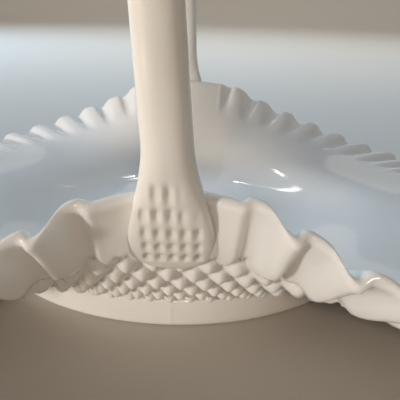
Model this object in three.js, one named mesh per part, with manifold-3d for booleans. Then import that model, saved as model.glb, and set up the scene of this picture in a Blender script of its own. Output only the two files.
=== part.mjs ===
// Handled serving basket of pressed milk glass.
//
// The bowl is one pressed piece: a plain collar foot, a band of raised diamonds and a flared wall. While
// it is hot its rim is crimped into ruffles, pulled up at the two sides and let down at the two ends.
// The handle is a second gather of glass: a round-sided strap laid across the bowl, whose two flat ends
// are pressed onto the outside of the wall and stamped with a waffle tool.
//
// Millimetres, +Z up. The origin is the middle of the foot, on the surface that the bowl stands on.
// X runs towards the two low ends, and the handle stands in the plane X = 0, over the front (-Y) and
// rear (+Y) sides. An angle round the bowl starts at the front and turns towards +X.

import * as THREE from "three";
import Module from "manifold-3d";
import { mergeVertices } from "three/addons/utils/BufferGeometryUtils.js";

const wasm = await Module();
wasm.setup();

// ---- Foot ----
const footRadius = 75;
const footHeight = 10.4;
const footRingWidth = 9;
const footRecess = 3.5;
const footEdgeRound = 2.4;
const floorThickness = 7;
const floorFlat = 42; // radius of the flat middle of the inside floor
const floorJoin = 0.3; // share of the wall's climb where the floor's curve meets the wall
const floorEase = 0.4; // how far each end of that curve pulls, as a share of its span
const floorKeep = 0.85; // the share of its drop the curve may use before it bends level

// ---- Wall: every upright section is one curve from the foot, past a bend, to the lip ----
const wallThicknessLow = 6;
const wallThicknessLip = 4;
const wallStartUnder = 4; // the wall's middle starts this far inside the foot's edge
const wallStartOver = 2.5; // and this far above the foot's top
const bendOut = 10.3; // the bend stands this far outside the foot
const bendUp = 9.6; // and this far above its top

// ---- Lip: its middle line at the handle, at 30 and 60 degrees from it, and at the two ends ----
const lipReach = { atHandle: 99, atShoulder: 137.5, atCorner: 160, atEnd: 156 };
const lipHeight = { atHandle: 53.2, atShoulder: 27.8, atCorner: 10.5, atEnd: 17 };
const lipShoulder = 2.6; // the lip stays this much higher a little beside the handle
const lipShoulderAt = 27; // distance from the handle's middle plane
const lipShoulderWidth = 13;
const lipUneven = 2; // the right front corner is left this much higher than the left one

// ---- Ruffles: an odd number of crimps, with a groove at the front of the handle and a lobe at its rear ----
const crimpCount = 61;
const crimpDepth = 2.5; // half of the movement, square to the wall, at the two ends
const crimpDeeper = 0.5; // more at the front and less at the rear
const crimpSquare = 1.3; // how far the lobes are flattened
const crimpLean = 0.065; // share of a crimp that the soft lobes lean downhill, away from the handle
const crimpLeanFrom = 0.2; // share of a crimp, from its groove, where the lean is least
const ruffleStart = 0.62; // share of the wall's climb at which the ruffles begin, at the two ends
const ruffleEarlier = 0.08; // so much earlier at the front and later at the rear
const ruffleGrow = 0.3; // share of the climb over which they grow to their full depth
const calmFrom = 17; // no ruffle nearer than this to the handle's middle plane
const calmTo = 22.5; // and a full one beyond this

// ---- Diamonds ----
const diamondCount = 76;
const diamondHalfRows = 7;
const diamondTop = 0.72; // share of the wall's climb that the diamonds cover
const diamondRelief = 1.9;

// ---- Handle ----
const handleTop = 200; // highest point of the whole basket
const legTop = 112; // where the straight legs start to bend into the arch
const strapWidth = 12.6;
const strapThickness = 10.6;
const padWidth = 23.4;
const padThickness = 5.6;
const padStart = 0.642; // share of the wall's climb at which the pad's lower edge lies
const padRound = 9; // length of the pad's rounded lower end
const padTaper = 33; // length over which the pad narrows into the strap
const padSink = 1.6; // how deep the soft pad is pressed into the wall's outer face
const legClear = 1.2; // gap between the leg's inner side and the lip
const handleLean = 2; // degrees that the hand-set handle leans towards -X
const handleTwist = 2.6; // degrees that its front leg leans more than its rear one
const twistFrom = 68; // above this height
const handleTurn = 0.6; // degrees that it is turned about the upright, its front towards +X
const fusedGap = 0.3; // clearance that stands for the fused joint between the two glasses

// ---- Waffle stamp ----
const waffleColumns = 5;
const waffleRows = 4;
const wafflePitchAcross = 3.4;
const wafflePitchUp = 5;
const wafflePoint = 2.2; // half the width of the stamp's pyramid points
const waffleDepth = 0.9;
const waffleStart = 6.2; // from the pad's lower edge to the first row

const wallStart = new THREE.Vector2(footRadius - wallStartUnder, footHeight + wallStartOver);
const wallBend = new THREE.Vector2(footRadius + bendOut, footHeight + bendUp);

// ---- Round the lip ----

// A value round the lip, the same in all four quarters: the cosine series through its four named values.
function roundTheLip({ atHandle, atShoulder, atCorner, atEnd }, angle) {
  const mean = (atHandle + 2 * atShoulder + 2 * atCorner + atEnd) / 6;
  const oval = (atHandle + atShoulder - atCorner - atEnd) / 3;
  const square = (atHandle - atShoulder - atCorner + atEnd) / 3;
  const fine = (atHandle - 2 * atShoulder + 2 * atCorner - atEnd) / 6;
  return mean + oval * Math.cos(2 * angle) + square * Math.cos(4 * angle) + fine * Math.cos(6 * angle);
}

// A point at a radius, an angle and a height.
function around(radius, angle, height) {
  return new THREE.Vector3(radius * Math.sin(angle), -radius * Math.cos(angle), height);
}

// The lip's plan length from the front to each of many equal steps of angle.
const lipSteps = 1440;
const lipLength = [0];
for (let step = 1; step <= lipSteps; step++) {
  const [before, after] = [step - 1, step].map((s) => {
    const angle = (2 * Math.PI * s) / lipSteps;
    return around(roundTheLip(lipReach, angle), angle, 0);
  });
  lipLength.push(lipLength[step - 1] + after.distanceTo(before));
}

// The share of the lip's length, 0 to 1, that lies between the front and an angle.
function lipShare(angle) {
  const at = THREE.MathUtils.clamp((angle / (2 * Math.PI)) * lipSteps, 0, lipSteps);
  const step = Math.min(Math.floor(at), lipSteps - 1);
  const length = THREE.MathUtils.lerp(lipLength[step], lipLength[step + 1], at - step);
  return length / lipLength[lipSteps];
}

// The angle at a share of the lip's length.
function lipAngle(share) {
  const length = share * lipLength[lipSteps];
  const step = Math.max(1, lipLength.findIndex((l) => l >= length));
  const within = (length - lipLength[step - 1]) / (lipLength[step] - lipLength[step - 1]);
  return (2 * Math.PI * (step - 1 + within)) / lipSteps;
}

// ---- The wall ----

// The lip's height: the series above, with one front corner a little higher than the other.
function lipRise(angle) {
  const aside = Math.abs(roundTheLip(lipReach, angle) * Math.sin(angle));
  const shoulder = lipShoulder * Math.exp(-(((aside - lipShoulderAt) / lipShoulderWidth) ** 2));
  const uneven = (lipUneven * Math.sin(2 * angle) * (1 + Math.cos(angle))) / 2;
  return roundTheLip(lipHeight, angle) + uneven + shoulder;
}

// The wave of the crimps, 1 on a lobe and -1 in a groove: a cosine whose phase leans downhill from the
// handle and whose tops are flattened.
function crimpWave(angle) {
  const crimps = crimpCount * lipShare(angle);
  const downhill = Math.tanh(5 * Math.sin(2 * angle));
  const lean = crimpLean * (1 - Math.cos(2 * Math.PI * (crimps - crimpLeanFrom * downhill)));
  const phase = 2 * Math.PI * (crimps - downhill * lean);
  return Math.tanh(-crimpSquare * Math.cos(phase)) / Math.tanh(crimpSquare);
}

// How far the crimping moves the wall inward. It grows up the wall and dies away beside the handle.
function ruffle(angle, climb) {
  const aside = Math.abs(roundTheLip(lipReach, angle) * Math.sin(angle));
  const start = ruffleStart - ruffleEarlier * Math.cos(angle);
  const grown = THREE.MathUtils.smoothstep(climb, start, start + ruffleGrow);
  const calmed = THREE.MathUtils.smoothstep(aside, calmFrom, calmTo);
  return (crimpDepth + crimpDeeper * Math.cos(angle)) * crimpWave(angle) * grown * calmed;
}

// The wall's section at an angle and a climb from 0 at the foot to 1 at the lip: a point of its middle
// line, the directions along and out of it, and its half thickness.
function wallAt(angle, climb) {
  const lip = new THREE.Vector2(roundTheLip(lipReach, angle), lipRise(angle));
  const section = new THREE.QuadraticBezierCurve(wallStart, wallBend, lip);
  const along = section.getTangent(climb);
  const out = new THREE.Vector2(along.y, -along.x);
  return {
    middle: section.getPoint(climb).addScaledVector(out, -ruffle(angle, climb)),
    along,
    out,
    half: THREE.MathUtils.lerp(wallThicknessLow, wallThicknessLip, climb) / 2,
  };
}

// A point beside the wall's middle line: `out` millimetres out of it and `along` millimetres along it.
function besideWall(angle, climb, outBy, alongBy = 0) {
  const wall = wallAt(angle, climb);
  const at = wall.middle.addScaledVector(wall.out, outBy).addScaledVector(wall.along, alongBy);
  return around(at.x, angle, at.y);
}

// ---- Skins made of rings of points ----

// A ring of points, evenly spaced in angle or evenly spaced along the lip.
function ring(count, pointAt, evenOnLip = false) {
  const angles = Array.from({ length: count }, (_, i) => {
    return evenOnLip ? lipAngle(i / count) : (2 * Math.PI * i) / count;
  });
  return { angles, points: angles.map((angle, i) => pointAt(angle, i)), parity: 0 };
}

// A ring that has shrunk to one point.
function tip(point) {
  return { angles: [0], points: [point], parity: 0 };
}

// The triangles between two rings. The ring whose next point comes first moves on, and where both come
// together the choice alternates, so that equal rings get diagonals that run both ways.
function bandBetween(lower, upper) {
  const faces = [];
  const [lowerCount, upperCount] = [lower.points.length, upper.points.length];
  const [lowerEnd, upperEnd] = [lowerCount, upperCount].map((count) => (count > 1 ? count : 0));
  const next = (one, at, end) => (at >= end ? Infinity : (one.angles[at + 1] ?? 2 * Math.PI));
  let [i, k] = [0, 0];
  while (i < lowerEnd || k < upperEnd) {
    const lead = next(lower, i, lowerEnd) - next(upper, k, upperEnd);
    const lowerMoves = Math.abs(lead) < 1e-9 ? (i + lower.parity) % 2 === 0 : lead < 0;
    const onLower = (step) => lower.first + ((i + step) % lowerCount);
    const onUpper = (step) => upper.first + ((k + step) % upperCount);
    faces.push(onLower(0), lowerMoves ? onLower(1) : onUpper(1), onUpper(0));
    if (lowerMoves) i++;
    else k++;
  }
  return faces;
}

// One closed skin over a list of rings, from its first tip to its last.
function skin(rings) {
  const positions = [];
  const faces = [];
  rings.forEach((one, row) => {
    one.first = positions.length / 3;
    one.points.forEach((point) => positions.push(...point.toArray()));
    if (row > 0) faces.push(...bandBetween(rings[row - 1], one));
  });
  const geometry = new THREE.BufferGeometry();
  geometry.setAttribute("position", new THREE.Float32BufferAttribute(positions, 3));
  geometry.setIndex(faces);
  return geometry;
}

// ---- Solids for joining and cutting ----

function solidOf(geometry) {
  const plain = geometry.clone();
  plain.deleteAttribute("normal");
  plain.deleteAttribute("uv");
  const merged = mergeVertices(plain, 1e-4);
  return new wasm.Manifold(
    new wasm.Mesh({
      numProp: 3,
      vertProperties: merged.attributes.position.array,
      triVerts: new Uint32Array(merged.index.array),
    }),
  );
}

function geometryOf(solid) {
  const mesh = solid.getMesh();
  const geometry = new THREE.BufferGeometry();
  geometry.setAttribute("position", new THREE.BufferAttribute(mesh.vertProperties, 3));
  geometry.setIndex(new THREE.BufferAttribute(mesh.triVerts, 1));
  geometry.computeVertexNormals();
  return geometry;
}

// ---- The bowl ----

const footColumns = diamondCount;
const insideColumns = 2 * crimpCount;
const lipColumns = 6 * crimpCount;

// The underside and the plain collar that the bowl stands on.
function footRings(grow) {
  const inner = footRadius - footRingWidth;
  const level = (radius, height) => ring(footColumns, (angle) => around(radius, angle, height));
  return [
    tip(around(0, 0, footRecess - grow)),
    level(inner - 1, footRecess - grow),
    level(inner, -grow),
    level(footRadius - footEdgeRound, -grow),
    level(footRadius - 0.3 * footEdgeRound + grow, 0.3 * footEdgeRound),
    level(footRadius + grow, footEdgeRound),
    level(footRadius + grow, footHeight - 1),
  ];
}

// The band of diamonds: a net of grooves with a raised point in every mesh, alternate rows half a step on.
function diamondRings(grow) {
  const rings = [];
  for (let row = 0; row <= diamondHalfRows; row++) {
    const climb = (diamondTop * row) / diamondHalfRows;
    const one = ring(2 * diamondCount, (angle, column) => {
      const raised = row > 0 && (row === diamondHalfRows || (row + column) % 2 === 1);
      const lift = raised ? diamondRelief : 0;
      return besideWall(angle, climb, wallAt(angle, climb).half + lift + grow);
    });
    one.parity = row + 1;
    rings.push(one);
  }
  return rings;
}

// The smooth ruffled wall above the diamonds, the rounded lip, and the smooth inside down to the floor.
function ruffledRings(grow) {
  const face = (climb, side, columns, lift = 0) =>
    ring(columns, (angle) => besideWall(angle, climb, side * (wallAt(angle, climb).half + lift + grow)), true);
  const rounded = (turn) => {
    const radius = wallThicknessLip / 2 + grow;
    return ring(
      lipColumns,
      (angle) => besideWall(angle, 1, radius * Math.cos(turn), radius * Math.sin(turn)),
      true,
    );
  };
  return [
    face(0.82, 1, lipColumns, diamondRelief * 0.6),
    face(0.91, 1, lipColumns, diamondRelief * 0.2),
    rounded(0),
    rounded(Math.PI / 2),
    rounded(Math.PI),
    face(0.84, -1, lipColumns),
    face(0.66, -1, insideColumns),
    face(0.48, -1, insideColumns),
    face(floorJoin, -1, insideColumns),
  ];
}

// The inside from the wall to the floor: at every angle a curve that leaves the wall along its slope and
// reaches the floor level.
function floorCurve(angle, grow) {
  const height = footRecess + floorThickness + grow;
  const inside = (climb) => {
    const wall = wallAt(angle, climb);
    return wall.middle.addScaledVector(wall.out, -wall.half - grow);
  };
  const edge = inside(floorJoin);
  const above = inside(floorJoin + 0.01);
  const slope = (above.y - edge.y) / (above.x - edge.x);
  const pull = floorEase * (edge.x - floorFlat);
  const reach = Math.min(pull, (floorKeep * (edge.y - height)) / slope);
  const leaving = new THREE.Vector2(edge.x - reach, edge.y - slope * reach);
  const arriving = new THREE.Vector2(floorFlat + pull, height);
  return new THREE.CubicBezierCurve(edge, leaving, arriving, new THREE.Vector2(floorFlat, height));
}

function floorRings(grow) {
  const height = footRecess + floorThickness + grow;
  const curved = (share) =>
    ring(footColumns, (angle) => {
      const at = floorCurve(angle, grow).getPoint(share);
      return around(at.x, angle, at.y);
    });
  return [...[0.3, 0.65, 1].map(curved), tip(around(0, 0, height))];
}

// The whole bowl, or the bowl grown all over by a clearance.
function bowlGeometry(grow = 0) {
  return skin([...footRings(grow), ...diamondRings(grow), ...ruffledRings(grow), ...floorRings(grow)]);
}

// ---- The handle ----

// A point of the handle's middle line over the pad, pressed `padSink` into the wall's outer face.
function overPad(climb) {
  const wall = wallAt(0, climb);
  const narrowing = THREE.MathUtils.smoothstep(climb, padStart, 1);
  const half = THREE.MathUtils.lerp(padThickness, strapThickness * 0.75, narrowing) / 2;
  return besideWall(0, climb, wall.half + half - padSink);
}

// The middle line from the front pad, up the leg, over the arch and down to the rear pad.
function handleLine() {
  const lip = wallAt(0, 1);
  const legOut = lip.middle.x + lip.half + legClear + strapThickness / 2;
  const archHigh = handleTop - strapThickness / 2 - legTop;
  const lipTop = lip.middle.y + lip.half;
  const front = [0, 0.25, 0.5, 0.75].map((share) => overPad(THREE.MathUtils.lerp(padStart, 1, share)));
  front.push(new THREE.Vector3(0, -legOut, THREE.MathUtils.lerp(lipTop, legTop, 0.25)));
  front.push(new THREE.Vector3(0, -legOut, THREE.MathUtils.lerp(lipTop, legTop, 0.65)));
  for (let share = 0; share < 1; share += 0.2) {
    const turn = (share * Math.PI) / 2;
    front.push(new THREE.Vector3(0, -legOut * Math.cos(turn), legTop + archHigh * Math.sin(turn)));
  }
  const rear = front.map((point) => new THREE.Vector3(0, -point.y, point.z)).reverse();
  const crown = new THREE.Vector3(0, 0, legTop + archHigh);
  return new THREE.CatmullRomCurve3([...front, crown, ...rear], false, "centripetal");
}

const line = handleLine();
const lineLength = line.getLength();

// The handle's section at a distance along its line: its middle, its outward direction, and its size.
function handleAt(distance) {
  const share = THREE.MathUtils.clamp(distance / lineLength, 0, 1);
  const fromEnd = Math.min(distance, lineLength - distance);
  const along = line.getTangentAt(share);
  const tapered = THREE.MathUtils.smoothstep(fromEnd, padRound, padRound + padTaper);
  const rounding = (1 - THREE.MathUtils.clamp(1 - fromEnd / padRound, 0, 1) ** 2.6) ** (1 / 2.6);
  return {
    middle: line.getPointAt(share),
    out: new THREE.Vector3(0, -along.z, along.y),
    width: THREE.MathUtils.lerp(padWidth * rounding, strapWidth, tapered),
    thickness: THREE.MathUtils.lerp(padThickness * (0.6 + 0.4 * rounding), strapThickness, tapered),
    squareness: THREE.MathUtils.lerp(3.2, 2.2, tapered),
  };
}

// A point of the handle: `aside` along X and `outward` from the line, leaning and turned as the whole
// handle is.
function besideLine(distance, aside, outward) {
  const at = handleAt(distance);
  const point = at.middle.addScaledVector(at.out, outward);
  const over = point.z - lipHeight.atHandle;
  const lean = Math.tan(THREE.MathUtils.degToRad(handleLean)) * over;
  const frontShare = THREE.MathUtils.clamp(0.5 - point.y / (2 * lipReach.atHandle), 0, 1);
  const twist = Math.tan(THREE.MathUtils.degToRad(handleTwist)) * frontShare * Math.max(point.z - twistFrom, 0);
  const turned = Math.tan(THREE.MathUtils.degToRad(handleTurn)) * point.y;
  return point.setX(aside - lean - twist - turned);
}

// Distances along the line at which the handle has a section: close over the pads, wider over the arch.
function handleStations() {
  const start = [0.04, 0.12, 0.26, 0.45, 0.7, 1].map((share) => share * padRound);
  for (let distance = padRound + 3; distance < padRound + padTaper + 6; distance += 3) start.push(distance);
  const middle = [];
  const [from, to] = [start.at(-1), lineLength - start.at(-1)];
  const spans = Math.round((to - from) / 9);
  for (let span = 1; span < spans; span++) middle.push(from + ((to - from) * span) / spans);
  return [...start, ...middle, ...start.map((distance) => lineLength - distance).reverse()];
}

const sectionSides = 20;

// The plain swept handle: a superellipse at each station, closed by a tip at each end.
function sweptHandle() {
  const bulge = (value, power) => Math.sign(value) * Math.abs(value) ** (2 / power);
  const rings = handleStations().map((distance) => {
    const { width, thickness, squareness } = handleAt(distance);
    return ring(sectionSides, (angle) => {
      const aside = (width / 2) * bulge(Math.cos(angle), squareness);
      const outward = (-thickness / 2) * bulge(Math.sin(angle), squareness);
      return besideLine(distance, aside, outward);
    });
  });
  return skin([tip(besideLine(0, 0, 0)), ...rings, tip(besideLine(lineLength, 0, 0))]);
}

// The stamp's pyramid points over the outer face of one pad, where each leaves a dimple.
function waffleStamp(distanceFrom) {
  const points = [];
  for (let row = 0; row < waffleRows; row++) {
    for (let column = 0; column < waffleColumns; column++) {
      const distance = distanceFrom(waffleStart + row * wafflePitchUp);
      const aside = (column - (waffleColumns - 1) / 2) * wafflePitchAcross;
      const outward = handleAt(distance).thickness / 2 + wafflePoint - waffleDepth;
      const point = new THREE.OctahedronGeometry(wafflePoint);
      point.translate(...besideLine(distance, aside, outward).toArray());
      points.push(solidOf(point));
    }
  }
  return points.reduce((joined, point) => joined.add(point));
}

// The handle, cut back from the wall by the gap that stands for the fused joint, and stamped.
function handleGeometry() {
  const cut = solidOf(sweptHandle())
    .subtract(solidOf(bowlGeometry(fusedGap)))
    .subtract(waffleStamp((distance) => distance))
    .subtract(waffleStamp((distance) => lineLength - distance));
  return geometryOf(cut);
}

// ---- The basket ----

// Opaque white glass: a very slightly warm white, glossy and not metallic.
function milkGlass(color) {
  return new THREE.MeshStandardMaterial({ color, roughness: 0.12, metalness: 0 });
}

function named(name, geometry, material) {
  const mesh = new THREE.Mesh(geometry, material);
  mesh.name = name;
  return mesh;
}

const basket = new THREE.Group();
basket.add(named("bowl", bowlGeometry(), milkGlass(0xf1efea)));
basket.add(named("handle", handleGeometry(), milkGlass(0xf2ede4)));

export default basket;
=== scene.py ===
# %% [markdown]
# # A serving basket of pressed milk glass
#
# The real object is two gathers of hot white glass. The bowl is pressed in an iron mould, which gives it
# the plain foot and the band of diamonds. Its rim is then warmed again and crimped into ruffles, pulled
# up at two sides and let down at the two ends. The handle is a strap of glass, laid over the bowl and
# stamped onto the wall at both ends.
#
# Both pieces are curved everywhere, so each is made as one surface worked out with numpy. The sizes are
# the ones the solid model is made from, in millimetres, and turn to metres when a mesh is made. The first
# step loads that solid model. The glass has to stay inside it.

# %% The frame that everything shares
import math

import bpy
import numpy as np
from mathutils import Matrix, Vector


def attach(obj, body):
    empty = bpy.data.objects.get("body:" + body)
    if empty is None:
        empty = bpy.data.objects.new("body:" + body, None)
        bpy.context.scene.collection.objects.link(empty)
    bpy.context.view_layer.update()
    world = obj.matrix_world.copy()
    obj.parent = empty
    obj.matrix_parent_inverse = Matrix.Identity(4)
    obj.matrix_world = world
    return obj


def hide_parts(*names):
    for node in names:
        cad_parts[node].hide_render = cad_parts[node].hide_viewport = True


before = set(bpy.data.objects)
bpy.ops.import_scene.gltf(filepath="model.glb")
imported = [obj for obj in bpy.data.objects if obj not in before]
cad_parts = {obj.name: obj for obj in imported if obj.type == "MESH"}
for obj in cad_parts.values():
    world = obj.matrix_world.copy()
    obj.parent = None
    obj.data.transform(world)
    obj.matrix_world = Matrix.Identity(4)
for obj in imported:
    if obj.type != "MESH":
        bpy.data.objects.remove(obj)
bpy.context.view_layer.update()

# %% [markdown]
# ## The lip's path
#
# Seen from above the lip is a rounded rectangle, and seen from the side it is a saddle. Both come from
# four values a quarter, at 0, 30, 60 and 90 degrees from the handle, joined by a cosine series. A series
# has no corners, so no break shows in the gloss of the glass, and it closes on itself by its nature.

# %% The lip's path
foot_radius = 75
foot_height = 10.4
lip_reach = (99, 137.5, 160, 156)
lip_height = (53.2, 27.8, 10.5, 17)
lip_swell = 2.6  # the lip is this much higher a little beside the handle
swell_aside = 27
swell_width = 13
lip_uneven = 2.0


def round_the_lip(values, angle):
    """The mean plus cosines of 2, 4 and 6 times the angle, through the four values of each quarter."""
    at_handle, at_shoulder, at_corner, at_end = values
    mean = (at_handle + 2 * at_shoulder + 2 * at_corner + at_end) / 6
    oval = (at_handle + at_shoulder - at_corner - at_end) / 3
    square = (at_handle - at_shoulder - at_corner + at_end) / 3
    fine = (at_handle - 2 * at_shoulder + 2 * at_corner - at_end) / 6
    return mean + oval * np.cos(2 * angle) + square * np.cos(4 * angle) + fine * np.cos(6 * angle)


def bell(distance, width):
    """exp(-(distance / width)^2): 1 in the middle and nearly 0 past two widths."""
    return np.exp(-((distance / width) ** 2))


def lip_aside(angle):
    """The distance of the lip from the handle's middle plane."""
    return np.abs(round_the_lip(lip_reach, angle) * np.sin(angle))


def lip_rise(angle):
    """The lip's height: the series above, a swell beside the handle, and one front corner a little higher."""
    swell = lip_swell * bell(lip_aside(angle) - swell_aside, swell_width)
    uneven = lip_uneven * np.sin(2 * angle) * (1 + np.cos(angle)) / 2
    return round_the_lip(lip_height, angle) + uneven + swell


def around(radius, angle, height):
    """Points at a radius, an angle and a height: the angle starts at the front, -Y, and turns to +X."""
    return np.stack(np.broadcast_arrays(radius * np.sin(angle), -radius * np.cos(angle), height), -1)


turn = np.linspace(0, 2 * np.pi, 1441)
lip_plan = around(round_the_lip(lip_reach, turn), turn, 0)
lip_length = np.r_[0, np.cumsum(np.linalg.norm(np.diff(lip_plan, axis=0), axis=1))]


def lip_share(angle):
    """The share of the lip's length, seen from above, between the front and an angle."""
    return np.interp(np.mod(angle, 2 * np.pi), turn, lip_length) / lip_length[-1]


print("The lip is", round(lip_length[-1]), "mm long before it is crimped.")

# %% [markdown]
# ## The ruffles
#
# A worker crimps the warm lip with a tool that pushes it in and out, square to the wall, 61 times round.
# Where it is pushed in it makes a broad round lobe, and between the lobes stays a narrow groove. The
# soft lobes then lean a little downhill, away from the handle, so each has one gentle and one steep
# side. A plain cosine is too even for that, so its phase is bent and its tops are flattened.

# %% The ruffles
crimp_count = 61
crimp_depth = 2.5
crimp_deeper = 0.5  # deeper at the front by this much, and shallower at the rear
crimp_square = 1.3  # how far the lobes' tops are flattened
crimp_lean = 0.065  # share of a crimp that the lobes lean
crimp_lean_from = 0.2
ruffle_start = 0.62  # shares of the wall's climb
ruffle_earlier = 0.08
ruffle_grow = 0.3
calm_from = 17  # mm aside of the handle's middle plane
calm_to = 22.5
hand = np.random.default_rng(61)
hand_phase = hand.uniform(0, 2 * np.pi, 2)
hand_waves = (14 * np.pi, 34 * np.pi)  # 7 slow and 17 quick changes of the worker's hand in one round
hand_strength = 0.03


def smooth_step(value, low, high):
    """0 below low, 1 above high, and the cubic 3t^2 - 2t^3 between them."""
    t = np.clip((value - low) / (high - low), 0, 1)
    return t * t * (3 - 2 * t)


def ruffle(angle, climb):
    """tanh(-k cos phase) / tanh k, the phase being the crimps passed, less a lean that turns at each end.

    The result is the lip's shift inward in mm. It grows up the wall and dies away beside the pads.
    """
    crimps = crimp_count * lip_share(angle)
    downhill = np.tanh(5 * np.sin(2 * angle))
    lean = crimp_lean * (1 - np.cos(2 * np.pi * (crimps - crimp_lean_from * downhill)))
    phase = 2 * np.pi * (crimps - downhill * lean)
    wave = np.tanh(-crimp_square * np.cos(phase)) / math.tanh(crimp_square)
    start = ruffle_start - ruffle_earlier * np.cos(angle)
    grown = smooth_step(climb, start, start + ruffle_grow) * smooth_step(lip_aside(angle), calm_from, calm_to)
    slow = np.sin(hand_waves[0] * lip_share(angle) + hand_phase[0])
    quick = np.sin(hand_waves[1] * lip_share(angle) + hand_phase[1])
    depth = crimp_depth + crimp_deeper * np.cos(angle)
    return depth * wave * grown * (1 - hand_strength * (2 - slow - quick))


lip_ruffles = ruffle(turn, 1.0)
print("The crimps push the lip in by up to", round(lip_ruffles.max(), 1), "mm.")
print("Between them it swings out by up to", round(-lip_ruffles.min(), 1), "mm.")

# %% [markdown]
# ## The wall
#
# Every upright section of the wall is one smooth curve, from the foot, out past a bend, to the lip. A
# quadratic Bezier curve is the simplest one that leaves the foot in a fixed direction and still reaches
# a lip that moves. The thickness goes from 6 mm at the foot to 4 mm at the lip.

# %% The wall
wall_start = np.array([foot_radius - 4, foot_height + 2.5])  # radius and height of the middle line
wall_bend = np.array([foot_radius + 10.3, foot_height + 9.6])
wall_thickness = (6, 4)


def wall(angle, climb):
    """The middle line (1-c)^2 start + 2c(1-c) bend + c^2 lip, its unit direction, and half the thickness."""
    angle, climb = np.broadcast_arrays(angle, climb)
    c = climb[..., None]
    lip = np.stack([round_the_lip(lip_reach, angle), lip_rise(angle)], -1)
    middle = (1 - c) ** 2 * wall_start + 2 * c * (1 - c) * wall_bend + c**2 * lip
    along = (1 - c) * (wall_bend - wall_start) + c * (lip - wall_bend)
    along = along / np.linalg.norm(along, axis=-1, keepdims=True)
    inward = np.stack([-along[..., 1], along[..., 0]], -1)
    middle = middle + ruffle(angle, climb)[..., None] * inward
    half = (wall_thickness[0] + (wall_thickness[1] - wall_thickness[0]) * climb) / 2
    return middle, along, half


def beside_wall(angle, climb, out_by, along_by=0.0):
    """Points beside the middle line: out_by along its outward normal, along_by along its direction."""
    middle, along, _ = wall(angle, climb)
    out = np.stack([along[..., 1], -along[..., 0]], -1)
    at = middle + np.asarray(out_by)[..., None] * out + np.asarray(along_by)[..., None] * along
    return around(at[..., 0], np.broadcast_to(angle, at.shape[:-1]), at[..., 1])


crest = beside_wall(turn, np.ones_like(turn), 0.0)[:, 2]
print("The middle of the lip is between", round(crest.min(), 1), "and", round(crest.max(), 1), "mm high.")

# %% [markdown]
# ## The diamonds
#
# The mould has a net of V grooves, cut along two slanting directions. In the glass, each mesh of the net
# is a puffed diamond with a soft top, because the flame rounds every edge that the mould made. The two
# slanting directions are the sum and the difference of "diamonds round" and "diamonds up", so a diamond's
# height is a product of two humps, one for each direction. The top row has no upper grooves: it runs
# into the smooth ruffles and leaves a row of pointed teeth.

# %% The diamonds
diamond_count = 76
diamond_half_rows = 7
diamond_top = 0.72
diamond_relief = 2.6
diamond_hump = 1.9
diamond_foot = 0.35  # the lowest third of a row rises out of the foot's ledge


def diamond_height(angle, climb):
    """relief (1-|2u|^n)(1-|2v|^n), where u and v are the distances from a mesh's middle lines."""
    across = diamond_count * angle / (2 * np.pi)
    up = climb / diamond_top * diamond_half_rows / 2
    rising, falling = up + across, up - across
    row = (np.floor(rising) + np.floor(falling) + 1) / 2
    top_row = diamond_half_rows / 2
    u = rising - np.floor(rising) - 0.5
    v = falling - np.floor(falling) - 0.5
    u = np.where(((row == top_row) & (u > 0)) | (row > top_row), 0, u)
    v = np.where(((row == top_row) & (v > 0)) | (row > top_row), 0, v)
    hump = (1 - np.abs(2 * u) ** diamond_hump) * (1 - np.abs(2 * v) ** diamond_hump)
    fade = 1 - smooth_step(climb, diamond_top, 1)
    return diamond_relief * hump * fade * smooth_step(up, 0, diamond_foot)


diamond_width = 2 * np.pi * foot_radius / diamond_count
print("A diamond is", round(diamond_width, 1), "mm wide at the foot and", diamond_relief, "mm high.")

# %% [markdown]
# ## From a grid of points to a mesh
#
# A closed skin of revolution is a grid: one row for each ring, one column for each angle. Its last column
# joins its first, and its first and last rings close on a single point. `np.roll` gives every point's
# neighbour, so the faces of the whole grid come out of one expression.

# %% From a grid of points to a mesh
def closed_skin(name, rings, low_tip, high_tip):
    """A mesh of quads between neighbouring rings, and of triangles from the end rings to two tips."""
    rows, columns = rings.shape[:2]
    points = np.concatenate([rings.reshape(-1, 3), [low_tip, high_tip]]) / 1000
    index = np.arange(rows * columns).reshape(rows, columns)
    beside = np.roll(index, -1, axis=1)
    quads = np.stack([index[:-1], beside[:-1], beside[1:], index[1:]], -1).reshape(-1, 4)
    low = np.stack([np.full(columns, rows * columns), beside[0], index[0]], -1)
    high = np.stack([np.full(columns, rows * columns + 1), index[-1], beside[-1]], -1)
    mesh = bpy.data.meshes.new(name)
    mesh.from_pydata(points.tolist(), [], quads.tolist() + low.tolist() + high.tolist())
    mesh.shade_smooth()
    mesh.validate()
    piece = bpy.data.objects.new(name, mesh)
    bpy.context.scene.collection.objects.link(piece)
    print(name, "has", 2 * len(quads) + len(low) + len(high), "triangles.")
    return piece


# %% [markdown]
# ## The foot
#
# The foot is a plain pressed collar, with a shallow recess under it so that the basket stands on a ring.
# Four faint seams show where the quarters of the iron mould met. Its outline is a list of radii and
# heights, with every round edge as an arc. A turned shape could also be spun, but rings of points let the
# foot join the wall, which isn't round, without a cut.

# %% The foot's rings
columns = 10 * diamond_count
bowl_turn = np.linspace(0, 2 * np.pi, columns, endpoint=False)[None, :]


def level_rings(profile):
    """Round rings through a profile of (radius, height) pairs."""
    radius, height = np.array(profile, float).T[..., None]
    return around(radius, bowl_turn, height)


def arc(middle, radius, start, end, count):
    """Pairs on a circle's arc, between two angles in degrees from the outward direction."""
    angle = np.radians(np.linspace(start, end, count))
    return [(middle[0] + radius * math.cos(a), middle[1] + radius * math.sin(a)) for a in angle]


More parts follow.
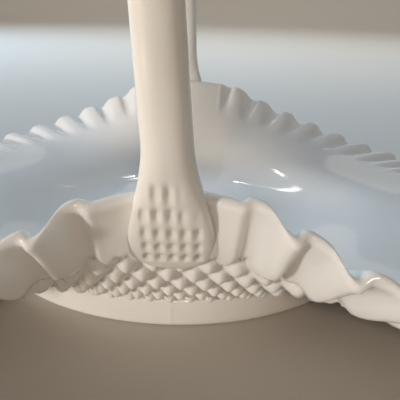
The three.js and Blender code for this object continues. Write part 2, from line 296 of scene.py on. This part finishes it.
foot_recess = 3.5
foot_ring = 9
foot_round = 2.4
inner_round = 1.5
step_round = 1.0
top_round = 0.8
top_edge = foot_height - 1.2
foot_inner = foot_radius - foot_ring
foot_profile = [(r, foot_recess) for r in (20, 45, 60, foot_inner - 3)]
foot_profile += arc((foot_inner - 3, foot_recess - inner_round), inner_round, 80, 20, 4)
foot_profile += arc((foot_inner + 1.5, step_round), step_round, 190, 265, 4)
foot_profile += [(foot_inner + 3.5, 0), (foot_radius - foot_round - 1, 0)]
foot_profile += arc((foot_radius - foot_round, foot_round), foot_round, -84, 0, 7)
foot_profile += [(foot_radius, height) for height in (4.5, 7, top_edge - top_round / 2)]
foot_profile += arc((foot_radius - top_round, top_edge), top_round, 5, 80, 4)
foot_rings = level_rings(foot_profile)
print("The foot is", 2 * foot_radius, "mm across, and its outline has", len(foot_profile), "points.")

# %% The mould's seams
seam_share = 0.0022  # the seam stands out by this share of the radius, 0.17 mm
seam_turn = 0.006  # and is this wide, in radians
from_seam = np.abs(np.mod(bowl_turn + np.pi / 4, np.pi / 2) - np.pi / 4)
foot_rings[:, :, :2] *= 1 + seam_share * bell(from_seam, seam_turn)[..., None]
print("Each seam stands", round(seam_share * foot_radius, 2), "mm out of the foot.")

# %% [markdown]
# ## The outer face and the lip
#
# The rings go on up the outer face, over the diamonds and the ruffles, round the lip, and down again
# inside. They stay close together on the diamonds, which have the finest shape, and stand further apart
# above them. The fire-polished lip is a half circle, as every free edge of melted glass is.

# %% The outer face
near_lip = 0.985
over_diamonds = np.linspace(0, diamond_top + 0.03, 52)
over_ruffles = np.linspace(diamond_top + 0.05, near_lip, 15)
outer_climb = np.r_[over_diamonds, over_ruffles][:, None]
half = wall(bowl_turn, outer_climb)[2]
outer_rings = beside_wall(bowl_turn, outer_climb, half + diamond_height(bowl_turn, outer_climb))
print("The outer face has", len(outer_rings), "rings of", columns, "points.")

# %% The lip
lip_turn = np.radians(np.linspace(0, 180, 9))[:, None]
lip_radius = wall_thickness[1] / 2
lip_climb = np.ones_like(lip_turn)
lip_out = lip_radius * np.cos(lip_turn) * np.ones_like(bowl_turn)
lip_over = lip_radius * np.sin(lip_turn) * np.ones_like(bowl_turn)
lip_rings = beside_wall(bowl_turn, lip_climb, lip_out, lip_over)
lip_crest = lip_rings[..., 2].max()
print("The lip is", 2 * lip_radius, "mm thick and stands up to", round(lip_crest, 1), "mm high.")

# %% [markdown]
# ## The inside
#
# The plunger of the press leaves the inside smooth: down the wall, through a long soft bend, to a flat
# floor. The bend is a cubic Bezier curve in every upright section, because a cubic can leave the wall
# along its slope and reach the floor level, and stays smooth where the ruffles make the slope change.

# %% The inner face
floor_join = 0.3  # share of the wall's climb where the bend starts
inner_climb = np.r_[np.linspace(near_lip, 0.5, 17), np.linspace(0.46, floor_join, 4)][:, None]
inner_rings = beside_wall(bowl_turn, inner_climb, -wall(bowl_turn, inner_climb)[2])
print("The inner face has", len(inner_rings), "rings.")

# %% The bend and the floor of the bowl
flat_radius = 42
floor_thickness = 7
floor_ease = 0.4  # how far each end of the bend pulls, as a share of its span
floor_keep = 0.85  # the share of its drop that it may use before it levels out
floor_height = foot_recess + floor_thickness
before = np.array([floor_join + 0.01, floor_join])[:, None]
edge_points = beside_wall(bowl_turn, before, -wall(bowl_turn, before)[2])
edge_radii = np.hypot(edge_points[..., 0], edge_points[..., 1])
edge_radius, edge_height = edge_radii[1], edge_points[1, :, 2]
slope = (edge_points[0, :, 2] - edge_height) / (edge_radii[0] - edge_radius)
pull = floor_ease * (edge_radius - flat_radius)
reach = np.minimum(pull, floor_keep * (edge_height - floor_height) / slope)
share = np.linspace(0, 1, 16)[1:, None]
weights = ((1 - share) ** 3, 3 * share * (1 - share) ** 2, 3 * share**2 * (1 - share), share**3)
radii = (edge_radius, edge_radius - reach, flat_radius + pull, flat_radius)
heights = (edge_height, edge_height - slope * reach, floor_height, floor_height)
radius = sum(weight * value for weight, value in zip(weights, radii))
height = sum(weight * value for weight, value in zip(weights, heights))
bend_rings = np.concatenate([around(radius, bowl_turn, height), level_rings([(24, floor_height)])])
print("The bend starts between", round(edge_height.min(), 1), "and", round(edge_height.max(), 1), "mm high.")

# %% The bowl as one closed skin
bowl_points = np.concatenate([foot_rings, outer_rings, lip_rings, inner_rings, bend_rings])
bowl = closed_skin("bowl_glass", bowl_points, (0, 0, foot_recess), (0, 0, floor_height))
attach(bowl, "root")
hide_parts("bowl")

# %% [markdown]
# ## The handle
#
# The handle is one gather of glass, so it is one profile carried along one path: flat and wide where it
# is stamped on, narrow and round-sided over the arch. The path follows the wall under the pads, then the
# legs and a quarter ellipse. Its curve is the centripetal Catmull-Rom spline of the solid model, which
# goes through every point of the path and has no loops.

# %% The handle's sizes
handle_top = 200
leg_top = 112
strap_width = 12.6
strap_thickness = 10.6
pad_width = 23.4
pad_thickness = 5.6
pad_start = 0.642
pad_round = 9
pad_taper = 33
pad_sink = 1.6
leg_clear = 1.2
handle_lean = math.radians(2.0)
handle_twist = math.radians(2.6)
twist_from = 68
handle_turn = math.radians(0.6)
print("The handle is", strap_width, "mm wide over the arch and", pad_width, "mm wide at the pads.")


# %% The curve through the path's points
def over_pad(climb):
    """The path over the front pad: outside the wall by half the handle, less what is pressed in."""
    narrowing = smooth_step(climb, pad_start, 1)
    top_thickness = 0.75 * strap_thickness
    handle_half = (pad_thickness + (top_thickness - pad_thickness) * narrowing) / 2
    return beside_wall(0.0 * climb, climb, wall(0.0 * climb, climb)[2] + handle_half - pad_sink)


def through(points, per_span=160):
    """The centripetal Catmull-Rom curve: in each span a cubic whose end slopes weigh the neighbours."""
    p = np.concatenate([[2 * points[0] - points[1]], points, [2 * points[-1] - points[-2]]])
    step = np.linalg.norm(np.diff(p, axis=0), axis=1)[:, None] ** 0.5
    slope = np.diff(p, axis=0) / step
    across = (p[2:] - p[:-2]) / (step[:-1] + step[1:])
    tangent = slope[:-1] - across + slope[1:]
    a, b, span = p[1:-2], p[2:-1], step[1:-1]
    start, end = tangent[:-1] * span, tangent[1:] * span
    t = np.linspace(0, 1, per_span, endpoint=False)[None, :, None]
    a, b, start, end = (v[:, None, :] for v in (a, b, start, end))
    h = 2 * t**3 - 3 * t**2
    curve = (1 + h) * a - h * b + (t**3 - 2 * t**2 + t) * start + (t**3 - t**2) * end
    return np.concatenate([curve.reshape(-1, 3), points[-1:]])


print("The middle of the pad starts", round(over_pad(np.array([pad_start]))[0, 2], 1), "mm high.")

# %% The handle's path
lip_middle, _, lip_half = wall(np.zeros(1), np.ones(1))
leg_out = lip_middle[0, 0] + lip_half[0] + leg_clear + strap_thickness / 2
lip_top = lip_middle[0, 1] + lip_half[0]
arch = handle_top - strap_thickness / 2 - leg_top
pad_line = over_pad(pad_start + (1 - pad_start) * np.array([0, 0.25, 0.5, 0.75]))
leg_line = [(0, -leg_out, lip_top + (leg_top - lip_top) * share) for share in (0.25, 0.65)]
bow = np.arange(5) * 0.2 * np.pi / 2
bow_line = np.stack([0 * bow, -leg_out * np.cos(bow), leg_top + arch * np.sin(bow)], -1)
front_line = np.concatenate([pad_line, leg_line, bow_line])
rear_line = front_line[::-1] * (1, -1, 1)
path = through(np.concatenate([front_line, [(0, 0, leg_top + arch)], rear_line]))
path_distance = np.r_[0, np.cumsum(np.linalg.norm(np.diff(path, axis=0), axis=1))]
path_length = path_distance[-1]
print("The handle is", round(path_length), "mm long along its middle.")

# %% [markdown]
# ## The stamp
#
# The stamp is a plate of small pyramids. It leaves soft pillows with a round dimple between them, in
# five columns and four rows. The glass still crept while it was stamped, so each row stands further from
# the last one than the row below did, each column runs on as a shallow valley, and above the fourth row
# two or three of them end in long flutes. On one upper side the stamp has slid off and left no mark.

# %% The stamp
waffle_pitch = 3.4
waffle_columns = 5
waffle_rows = 5
waffle_first = 6.0
waffle_step = 4.6
waffle_growth = 0.17  # each step is this share longer than the last
waffle_depth = 1.0
waffle_ridge = 0.38  # how far the ridges between the rows rise out of the valleys
waffle_edge = 0.3
flute_middle = -1.5
flute_reach = 4.2


def waffle(from_end, aside):
    """depth (1+cos a)/2 (1-r+r cos b): a counts columns across the pad, b counts rows whose step grows."""
    row = np.log1p(waffle_growth * (from_end - waffle_first) / waffle_step) / math.log1p(waffle_growth)
    across = 0.5 + 0.5 * np.cos(2 * np.pi * aside / waffle_pitch)
    up = 1 - waffle_ridge + waffle_ridge * np.cos(2 * np.pi * row)
    reach = waffle_columns * waffle_pitch / 2 + waffle_edge
    edge = 1 - smooth_step(np.abs(aside), reach - 4 * waffle_edge, reach)
    first = smooth_step(row, -0.55, -0.2)
    flutes = np.exp(-(((aside - flute_middle) / flute_reach) ** 4)) * smooth_step(row, 2.9, 3.5)
    stamped = 1 - smooth_step(row, 3.1, 3.6)
    last = (stamped + flutes) * (1 - smooth_step(row, waffle_rows - 0.9, waffle_rows - 0.3))
    slid = 1 - 0.8 * smooth_step(aside, 1.5, 5) * smooth_step(row, 2.1, 2.8)
    return waffle_depth * across * up * edge * first * last * slid


print("The stamp is", waffle_columns * waffle_pitch, "mm wide and presses", waffle_depth, "mm deep.")

# %% [markdown]
# ## How the hand sets the handle
#
# No hand sets a strap of soft glass quite upright. The whole handle leans a little, its front leg leans
# more, and it is turned about the upright. All three are small shifts aside, so they are added to each
# point at the end, and the pads stay on the wall.


# %% The lean and the turn
def hand_set(points):
    """How far aside the hand-set handle stands: it leans towards -X, its front leg more than its rear one."""
    over = points[..., 2] - lip_height[0]
    front_share = np.clip(0.5 - points[..., 1] / (2 * lip_reach[0]), 0, 1)
    twist = math.tan(handle_twist) * front_share * np.maximum(points[..., 2] - twist_from, 0)
    return -math.tan(handle_lean) * over - twist - math.tan(handle_turn) * points[..., 1]


leg_shift = hand_set(np.array([[0, -leg_out, leg_top], [0, leg_out, leg_top]]))
front_shift, rear_shift = np.round(leg_shift, 1)
print("At", leg_top, "mm up, the front leg stands", front_shift, "and the rear one", rear_shift, "mm aside.")

# %% [markdown]
# ## The handle's skin
#
# Each ring of the skin is a rounded rectangle, a "superellipse", whose width, thickness and squareness
# change along the path. The stamp and the crease then press into its outer side. The crease is where a
# tool has touched the soft front leg: a shallow bell curve along the leg, with soft ends. The first rings
# lie very close together, because the end of the pad is round.

# %% Where the rings stand
end_steps = np.r_[0.02, 0.06, 0.13, 0.24, np.arange(0.4, 34, 0.36)]  # mm from each end, over the stamp
middle_steps = np.linspace(end_steps[-1], path_length - end_steps[-1], 190)[1:-1]
stations = np.r_[end_steps, middle_steps, (path_length - end_steps)[::-1]][:, None]

outer_side = np.radians(np.linspace(-90, 90, 72, endpoint=False))
inner_side = np.radians(np.linspace(90, 270, 40, endpoint=False))
side_turn = np.r_[outer_side, inner_side][None, :]

middle = np.stack([np.interp(stations[:, 0], path_distance, path[:, k]) for k in range(3)], -1)
along = np.gradient(middle, stations[:, 0], axis=0)
along /= np.linalg.norm(along, axis=1, keepdims=True)
outward_way = np.stack([0 * along[:, 0], -along[:, 2], along[:, 1]], -1)
print("The handle has", len(stations), "rings of", side_turn.size, "points.")

# %% The outline of each ring
end_power = 2.6
from_end = np.minimum(stations, path_length - stations)
tapered = smooth_step(from_end, pad_round, pad_round + pad_taper)
rounding = (1 - np.clip(1 - from_end / pad_round, 0, 1) ** end_power) ** (1 / end_power)
width = pad_width * rounding * (1 - tapered) + strap_width * tapered
thickness = pad_thickness * (0.6 + 0.4 * rounding) * (1 - tapered) + strap_thickness * tapered
squareness = 3.2 - tapered
aside_share = np.sin(side_turn)
outward_share = (1 - np.abs(aside_share) ** squareness) ** (1 / squareness)
on_outer = (np.cos(side_turn) > 0) * np.ones_like(stations)
aside = width / 2 * aside_share
outward = thickness / 2 * outward_share * np.where(on_outer > 0, 1, -1)
print("The pads are", round(float(thickness[stations < pad_round].max()), 1), "mm thick.")

# %% The stamp and the crease
crease_height = 77.5
crease_slant = 0.18
crease_depth = 0.5
crease_width = 1.5
crease_middle = 0.8
crease_reach = 4.5
outward = outward - on_outer * waffle(from_end, aside)
crease_place = middle[:, None, 2] - crease_height - crease_slant * aside
crease_ends = np.exp(-(((aside - crease_middle) / crease_reach) ** 4))
crease = crease_depth * bell(crease_place, crease_width) * crease_ends
outward = outward - on_outer * crease * (stations < path_length / 2)
handle_points = middle[:, None, :] + outward[..., None] * outward_way[:, None, :]
handle_points[..., 0] = aside + hand_set(handle_points)
print("The crease is at most", round(float(crease.max()), 2), "mm deep.")

# %% [markdown]
# ## The handle rests on the wall
#
# The wall under a pad bends two ways, so a pad pressed on by hand takes its shape. Here every point of
# the handle that lies inside the wall is moved out to its face, with a gap too thin to see. The point of
# the wall at the same height is found by halving: twenty-two halvings are finer than any mould.


# %% The pads follow the wall
def press_on(points, gap=0.12, halvings=22):
    """Moves points that are inside the wall out to its outer face: the climb comes from halving steps."""
    x, y, z = np.moveaxis(points, -1, 0)
    angle = np.mod(np.arctan2(x, -y), 2 * np.pi)
    low, high = np.full(x.shape, 0.4), np.full(x.shape, 1.0)
    for _ in range(halvings):
        climb = (low + high) / 2
        out_by = wall(angle, climb)[2] + diamond_height(angle, climb) + gap
        under = beside_wall(angle, climb, out_by)[..., 2] < z
        low, high = np.where(under, climb, low), np.where(under, high, climb)
    face = beside_wall(angle, climb, out_by)
    face_radius = np.hypot(face[..., 0], face[..., 1])
    radius = np.hypot(x, y)
    free = (z > face[..., 2] + 0.2) | (radius > face_radius)
    scale = np.where(free, 1, face_radius / radius)
    return points * np.stack([scale, scale, np.ones_like(scale)], -1)


pressed_points = press_on(handle_points)
pressed_by = np.linalg.norm(pressed_points - handle_points, axis=-1)
print("The wall pushes the pads out by up to", round(pressed_by.max(), 1), "mm.")

# %% The handle as one closed skin
tips = middle[[0, -1]]
tips[:, 0] = hand_set(tips)
handle = closed_skin("handle_glass", pressed_points, tips[0], tips[1])
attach(handle, "root")
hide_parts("handle")

# %% [markdown]
# ## Milk glass
#
# Milk glass is soda-lime glass made white by tiny crystals. It isn't clear and it isn't paint: light goes
# a few millimetres in, so edges and thin lips glow a little and look cooler than the body. Its skin is
# fire-polished, with a very faint waviness left by the mould. The Principled shader with some subsurface
# scattering and a sharp dielectric gloss gives all of that.


# %% Colours and nodes
def linear(hex_colour):
    """An sRGB hex colour turned to linear light."""
    parts = [int(hex_colour[i : i + 2], 16) / 255 for i in (1, 3, 5)]
    return tuple(c / 12.92 if c <= 0.04045 else ((c + 0.055) / 1.055) ** 2.4 for c in parts) + (1.0,)


def add_node(material, kind, links=None, **settings):
    """Adds a node, sets its named sockets or its own settings, and links its inputs."""
    node = material.node_tree.nodes.new(kind)
    for key, value in settings.items():
        name = key.replace("_", " ").title()
        if hasattr(node, key):
            setattr(node, key, value)
        else:
            node.inputs[name].default_value = value
    for name, source in (links or {}).items():
        material.node_tree.links.new(source, node.inputs[name])
    return node


print("Warm white in linear light is", [round(part, 2) for part in linear("#f4f1ea")[:3]])


# %% The two glasses
clouds_per_metre = 22.0  # soft clouds of whiter glass, about 45 mm across
waves_per_metre = 90.0  # waves of the mould's skin, about 11 mm across
wave_height = 0.0004


def milk_glass(name, body, cloud, roughness):
    """Fire-polished opal glass: a clouded body colour, a few millimetres of scattering and a wavy skin."""
    material = bpy.data.materials.new(name)
    material.use_nodes = True
    shader = material.node_tree.nodes["Principled BSDF"]
    place = add_node(material, "ShaderNodeTexCoord").outputs["Object"]
    cloudy = {"scale": clouds_per_metre, "detail": 3.0, "roughness": 0.5}
    clouds = add_node(material, "ShaderNodeTexNoise", {"Vector": place}, **cloudy)
    mix = add_node(material, "ShaderNodeValToRGB", {"Fac": clouds.outputs["Fac"]})
    for stop, position, colour in zip(mix.color_ramp.elements, (0.35, 0.65), (cloud, body)):
        stop.position = position
        stop.color = linear(colour)
    material.node_tree.links.new(mix.outputs["Color"], shader.inputs["Base Color"])
    waves = add_node(material, "ShaderNodeTexNoise", {"Vector": place}, scale=waves_per_metre, detail=1.0)
    height = {"Height": waves.outputs["Fac"]}
    bump = add_node(material, "ShaderNodeBump", height, strength=0.12, distance=wave_height)
    material.node_tree.links.new(bump.outputs["Normal"], shader.inputs["Normal"])
    shader.inputs["Roughness"].default_value = roughness
    shader.inputs["IOR"].default_value = 1.52  # soda-lime glass
    shader.inputs["Subsurface Weight"].default_value = 0.35
    shader.inputs["Subsurface Radius"].default_value = (1.0, 0.95, 0.9)
    shader.inputs["Subsurface Scale"].default_value = 0.003  # the light goes about 3 mm in
    return material


bowl.data.materials.append(milk_glass("pressed_opal_glass", "#f4f1ea", "#efebe3", 0.06))
handle.data.materials.append(milk_glass("drawn_opal_glass", "#f5f0e6", "#f0eadd", 0.07))
print("The glasses are", [piece.data.materials[0].name for piece in (bowl, handle)])

# %% [markdown]
# ## The floor
#
# The basket stands on a plain pale sheet that curves up all round into a low wall, as in a product
# studio, so no hard horizon shows behind it. It is a disc and a quarter circle turned about the upright,
# in metres, and it is only a stage: it isn't a part of the basket.

# %% The floor
stage_flat = 1.9
stage_cove = 0.8
stage_bend = np.linspace(0, np.pi / 2, 12)[1:]
stage_radius = np.r_[np.linspace(0.4, stage_flat, 4), stage_flat + stage_cove * np.sin(stage_bend)]
stage_rise = np.r_[np.zeros(4), stage_cove * (1 - np.cos(stage_bend))]
stage_turn = np.linspace(0, 2 * np.pi, 96, endpoint=False)[None, :]
stage_rings = around(stage_radius[:, None], stage_turn, stage_rise[:, None])
stage_index = np.arange(stage_rings[..., 0].size).reshape(stage_rings.shape[:2])
stage_next = np.roll(stage_index, -1, axis=1)
stage_quads = np.stack([stage_index[:-1], stage_index[1:], stage_next[1:], stage_next[:-1]], -1)
stage_faces = [stage_index[0].tolist(), *stage_quads.reshape(-1, 4).tolist()]
floor_mesh = bpy.data.meshes.new("floor")
floor_mesh.from_pydata(stage_rings.reshape(-1, 3).tolist(), [], stage_faces)
floor_mesh.shade_smooth()
floor = bpy.data.objects.new("floor", floor_mesh)
bpy.context.scene.collection.objects.link(floor)
print("The floor is", 2 * (stage_flat + stage_cove), "m across.")

# %% The floor's paper
paper = bpy.data.materials.new("pale_paper")
paper.use_nodes = True
paper_shader = paper.node_tree.nodes["Principled BSDF"]
paper_shader.inputs["Base Color"].default_value = linear("#d2cdc4")
paper_shader.inputs["Roughness"].default_value = 0.8
floor.data.materials.append(paper)
print("The floor is covered with", paper.name)

# %% [markdown]
# ## The light
#
# White glass shows its shape by light from one side. A small bright lamp stands low at the front left,
# warm and cool soft ones fill in round it, and a large pale one stands above and behind. One lamp only
# washes the wall of the stage. Two tiny round lamps, high behind the bowl, leave the small glints that
# glossy glass has in its hollow. The large lamps are hidden from reflections, which keeps the gloss calm.


# %% The lamps
def soft_lamp(name, place, aim, size, watts, colour, shape="RECTANGLE", glossy=True):
    """An area lamp at a place, turned to look at a point. One that isn't glossy shows in no reflection."""
    data = bpy.data.lights.new(name, "AREA")
    data.shape = shape
    data.size = size
    data.size_y = size
    data.energy = watts
    data.color = linear(colour)[:3]
    lamp = bpy.data.objects.new(name, data)
    bpy.context.scene.collection.objects.link(lamp)
    lamp.location = place
    lamp.visible_glossy = glossy
    lamp.rotation_euler = (Vector(aim) - Vector(place)).to_track_quat("-Z", "Y").to_euler()


middle_of_bowl = (0, 0, 0.04)
soft_lamp("key", (-1.13, -0.88, 0.055), (0, 0, 0.05), 0.1, 10.5, "#fffaf5")
soft_lamp("left_warm", (-1.4, 0, 0.3), middle_of_bowl, 0.35, 5, "#ffe3d2", glossy=False)
soft_lamp("front_warm", (0.1, -1.25, 0.58), middle_of_bowl, 0.12, 3, "#ffe4d0")
soft_lamp("back_left", (-1.0, 0.9, 0.6), middle_of_bowl, 0.5, 12, "#b4dcff", glossy=False)
soft_lamp("sky", (0.25, 0.75, 1.3), middle_of_bowl, 1.2, 10, "#d8ecff", glossy=False)
soft_lamp("wash", (0, 0.9, 1.3), (0, 2.4, 0.3), 1.0, 14, "#fff4e6", glossy=False)
soft_lamp("glint_low", (-0.03, 1.09, 0.76), middle_of_bowl, 0.03, 0.03, "#ffffff", shape="DISK")
soft_lamp("glint_high", (0.0, 1.07, 0.86), middle_of_bowl, 0.03, 0.03, "#ffffff", shape="DISK")
print(len(bpy.data.lights), "lamps give", round(sum(lamp.energy for lamp in bpy.data.lights), 1), "W.")

# %% The room
world = bpy.data.worlds.new("room")
bpy.context.scene.world = world
world.use_nodes = True
room = world.node_tree.nodes["Background"]
room.inputs["Color"].default_value = linear("#d9d2c6")
room.inputs["Strength"].default_value = 0.05
print("The room adds a strength of", round(room.inputs["Strength"].default_value, 2))

# %% [markdown]
# ## The camera
#
# The camera stands close in front of the basket and looks down into it, a little turned about its own
# axis, as a picture taken by hand is. Its matrix is put together from its right, its up and its way of
# looking, which is surer than three angles in a fixed order.

# %% The camera
camera_place = Vector((0.00854, -0.2444, 0.1022))
tilt = 0.332
roll = 0.0258
level_right = Vector((1, 0, 0))
level_up = Vector((0, math.sin(tilt), math.cos(tilt)))
right = level_right * math.cos(roll) + level_up * math.sin(roll)
up = level_up * math.cos(roll) - level_right * math.sin(roll)
look = Vector((0, math.cos(tilt), -math.sin(tilt)))
camera_data = bpy.data.cameras.new("camera")
camera_data.sensor_width = 36
camera_data.lens = 54
camera_data.clip_start = 0.01
camera = bpy.data.objects.new("camera", camera_data)
bpy.context.scene.collection.objects.link(camera)
turned = Matrix((right, up, -look)).transposed().to_4x4()
camera.matrix_world = Matrix.Translation(camera_place) @ turned
bpy.context.scene.camera = camera
bpy.context.scene.view_settings.view_transform = "Standard"
print("The camera looks", round(math.degrees(tilt)), "degrees down, with a lens of", camera.data.lens, "mm.")
